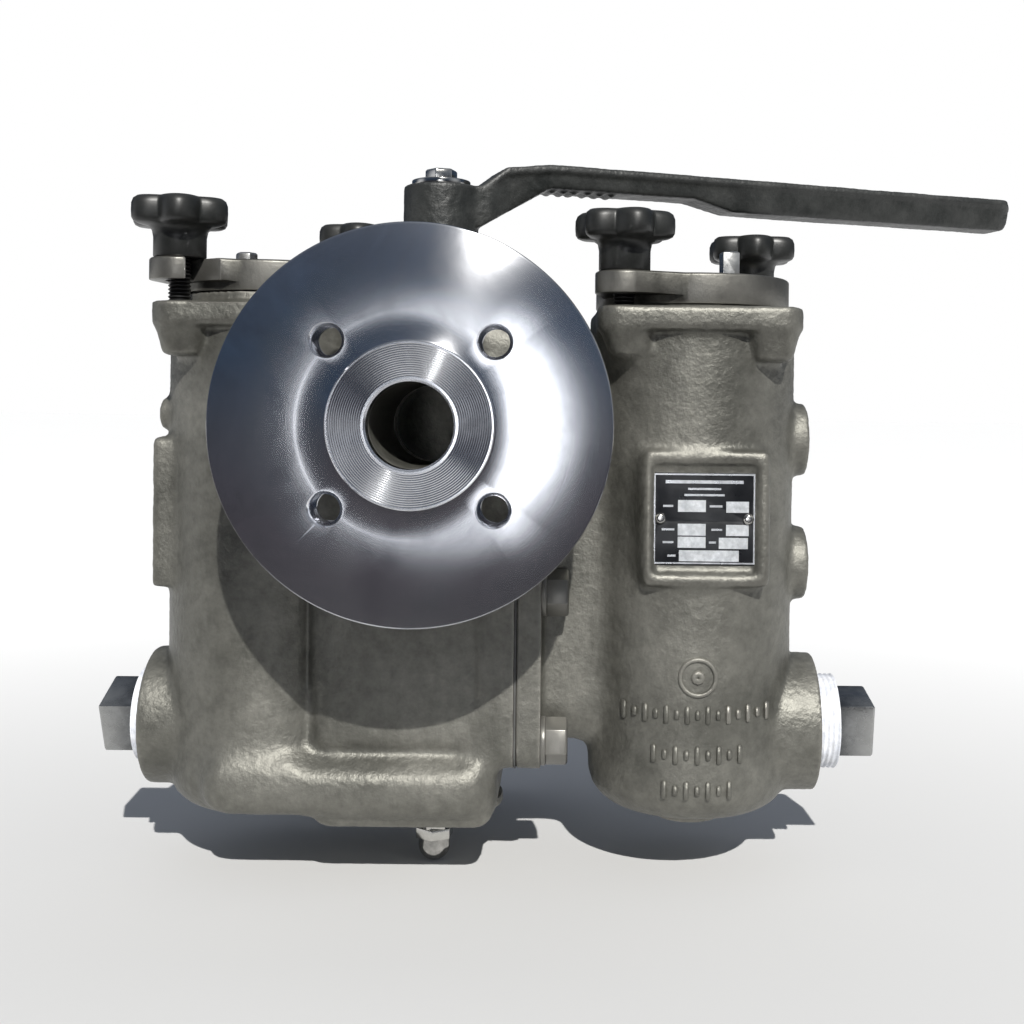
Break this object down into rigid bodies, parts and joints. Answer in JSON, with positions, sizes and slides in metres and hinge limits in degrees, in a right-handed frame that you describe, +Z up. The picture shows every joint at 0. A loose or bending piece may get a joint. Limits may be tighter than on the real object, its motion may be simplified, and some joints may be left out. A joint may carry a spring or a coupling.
{
  "type": "duplex basket strainer",
  "caption": "Cast stainless duplex basket strainer: twin pots, lever changeover valve between them, flanged line ends, swing covers held by star knobs.",
  "frame": {"origin": "centre of the inlet flange's bolting face, 1.6 mm behind its raised face", "axes": "-Y out of the inlet flange towards the upstream pipe, +Z up along the valve stem, +X towards the pot the lever points at"},
  "size_m": [0.4422, 0.2261, 0.3193],
  "materials": {
    "cast_stainless": "sand cast, matte",
    "machined_stainless": "machined",
    "bright_fastener": "bright hexagon fasteners",
    "black_iron": "rough black casting",
    "black_steel": "black oxide",
    "black_plastic": "satin moulded",
    "white_tape": "thread sealing tape",
    "seat_plastic": "filled PTFE",
    "gasket_sheet": "gasket sheet",
    "black_rubber": "seal rubber",
    "plate_metal": "black printed plate, silver border"
  },
  "bodies": {
    "strainer_body": {"left_casting": "cast_stainless", "right_casting": "cast_stainless", "joint_gasket": "gasket_sheet", "flange_bolts": "bright_fastener", "flange_washers": "bright_fastener", "inlet_flange": "machined_stainless", "outlet_flange": "machined_stainless", "upper_ball_seats": "seat_plastic", "lower_ball_seats": "seat_plastic", "bottom_plug": "cast_stainless", "adjusting_screw": "bright_fastener", "jam_nut": "bright_fastener", "acorn_nut": "bright_fastener", "bonnet": "cast_stainless", "bonnet_screws": "bright_fastener", "stem_packing": "seat_plastic", "packing_gland": "machined_stainless", "nameplate": "plate_metal", "nameplate_screws": "bright_fastener", "left_basket": "machined_stainless", "left_bail": "machined_stainless", "left_cover_seal": "black_rubber", "right_basket": "machined_stainless", "right_bail": "machined_stainless", "right_cover_seal": "black_rubber"},
    "changeover": {"lever": "black_iron", "lever_washer": "bright_fastener", "lever_bolt": "bright_fastener", "stem": "machined_stainless", "upper_ball": "machined_stainless", "link_shaft": "machined_stainless", "lower_ball": "machined_stainless", "lower_trunnion": "machined_stainless"},
    "left_cover": {"left_cover": "cast_stainless", "left_vent_plug": "machined_stainless"},
    "left_front_stud": {"left_front_stud": "black_steel"},
    "left_front_knob": {"left_front_knob": "black_plastic"},
    "left_rear_stud": {"left_rear_stud": "black_steel"},
    "left_rear_knob": {"left_rear_knob": "black_plastic"},
    "left_drain_tape": {"left_drain_tape": "white_tape"},
    "left_drain_plug": {"left_drain_plug": "machined_stainless"},
    "right_cover": {"right_cover": "cast_stainless", "right_vent_plug": "machined_stainless"},
    "right_front_stud": {"right_front_stud": "black_steel"},
    "right_front_knob": {"right_front_knob": "black_plastic"},
    "right_rear_stud": {"right_rear_stud": "black_steel"},
    "right_rear_knob": {"right_rear_knob": "black_plastic"},
    "right_drain_tape": {"right_drain_tape": "white_tape"},
    "right_drain_plug": {"right_drain_plug": "machined_stainless"}
  },
  "joints": [
    {"name": "changeover_turn", "type": "hinge", "parent": "strainer_body", "child": "changeover", "pos_m": [0, 0.11, 0.1], "axis": [0, 0, 1], "range_deg": [-180, 0]},
    {"name": "left_cover_swing", "type": "hinge", "parent": "strainer_body", "child": "left_cover", "pos_m": [-0.0419, 0.15, 0.0626], "axis": [0, 0, 1], "range_deg": [-100, 0]},
    {"name": "left_front_stud_lift", "type": "slide", "parent": "strainer_body", "child": "left_front_stud", "axis": [0, 0, 1], "range_m": [0, 0.00478]},
    {"name": "left_front_knob_turn", "type": "hinge", "parent": "left_front_stud", "child": "left_front_knob", "pos_m": [-0.1071, 0.07, 0.08], "axis": [0, 0, 1], "range_deg": [0, 1080]},
    {"name": "left_rear_stud_lift", "type": "slide", "parent": "strainer_body", "child": "left_rear_stud", "axis": [0, 0, 1], "range_m": [0, 0.00478]},
    {"name": "left_rear_knob_turn", "type": "hinge", "parent": "left_rear_stud", "child": "left_rear_knob", "pos_m": [-0.0419, 0.15, 0.08], "axis": [0, 0, 1], "range_deg": [0, 1080]},
    {"name": "left_drain_thread_travel", "type": "slide", "parent": "strainer_body", "child": "left_drain_tape", "axis": [-1, 0, 0], "range_m": [0, 0.00665]},
    {"name": "left_drain_plug_turn", "type": "hinge", "parent": "left_drain_tape", "child": "left_drain_plug", "pos_m": [-0.12, 0.11, -0.134], "axis": [-1, 0, 0], "range_deg": [0, 1080]},
    {"name": "right_cover_swing", "type": "hinge", "parent": "strainer_body", "child": "right_cover", "pos_m": [0.0824, 0.07, 0.0589], "axis": [0, 0, 1], "range_deg": [-100, 0]},
    {"name": "right_front_stud_lift", "type": "slide", "parent": "strainer_body", "child": "right_front_stud", "axis": [0, 0, 1], "range_m": [0, 0.00478]},
    {"name": "right_front_knob_turn", "type": "hinge", "parent": "right_front_stud", "child": "right_front_knob", "pos_m": [0.0824, 0.07, 0.08], "axis": [0, 0, 1], "range_deg": [0, 1080]},
    {"name": "right_rear_stud_lift", "type": "slide", "parent": "strainer_body", "child": "right_rear_stud", "axis": [0, 0, 1], "range_m": [0, 0.00478]},
    {"name": "right_rear_knob_turn", "type": "hinge", "parent": "right_rear_stud", "child": "right_rear_knob", "pos_m": [0.1476, 0.15, 0.08], "axis": [0, 0, 1], "range_deg": [0, 1080]},
    {"name": "right_drain_thread_travel", "type": "slide", "parent": "strainer_body", "child": "right_drain_tape", "axis": [1, 0, 0], "range_m": [0, 0.00665]},
    {"name": "right_drain_plug_turn", "type": "hinge", "parent": "right_drain_tape", "child": "right_drain_plug", "pos_m": [0.165, 0.11, -0.134], "axis": [1, 0, 0], "range_deg": [0, 1080]}
  ],
  "couplings": [
    {"joint": "left_front_stud_lift", "follows": "left_front_knob_turn", "m_per_rad": 0.00025266},
    {"joint": "left_rear_stud_lift", "follows": "left_rear_knob_turn", "m_per_rad": 0.00025266},
    {"joint": "left_drain_thread_travel", "follows": "left_drain_plug_turn", "m_per_rad": 0.00035152},
    {"joint": "right_front_stud_lift", "follows": "right_front_knob_turn", "m_per_rad": 0.00025266},
    {"joint": "right_rear_stud_lift", "follows": "right_rear_knob_turn", "m_per_rad": 0.00025266},
    {"joint": "right_drain_thread_travel", "follows": "right_drain_plug_turn", "m_per_rad": 0.00035152}
  ]
}
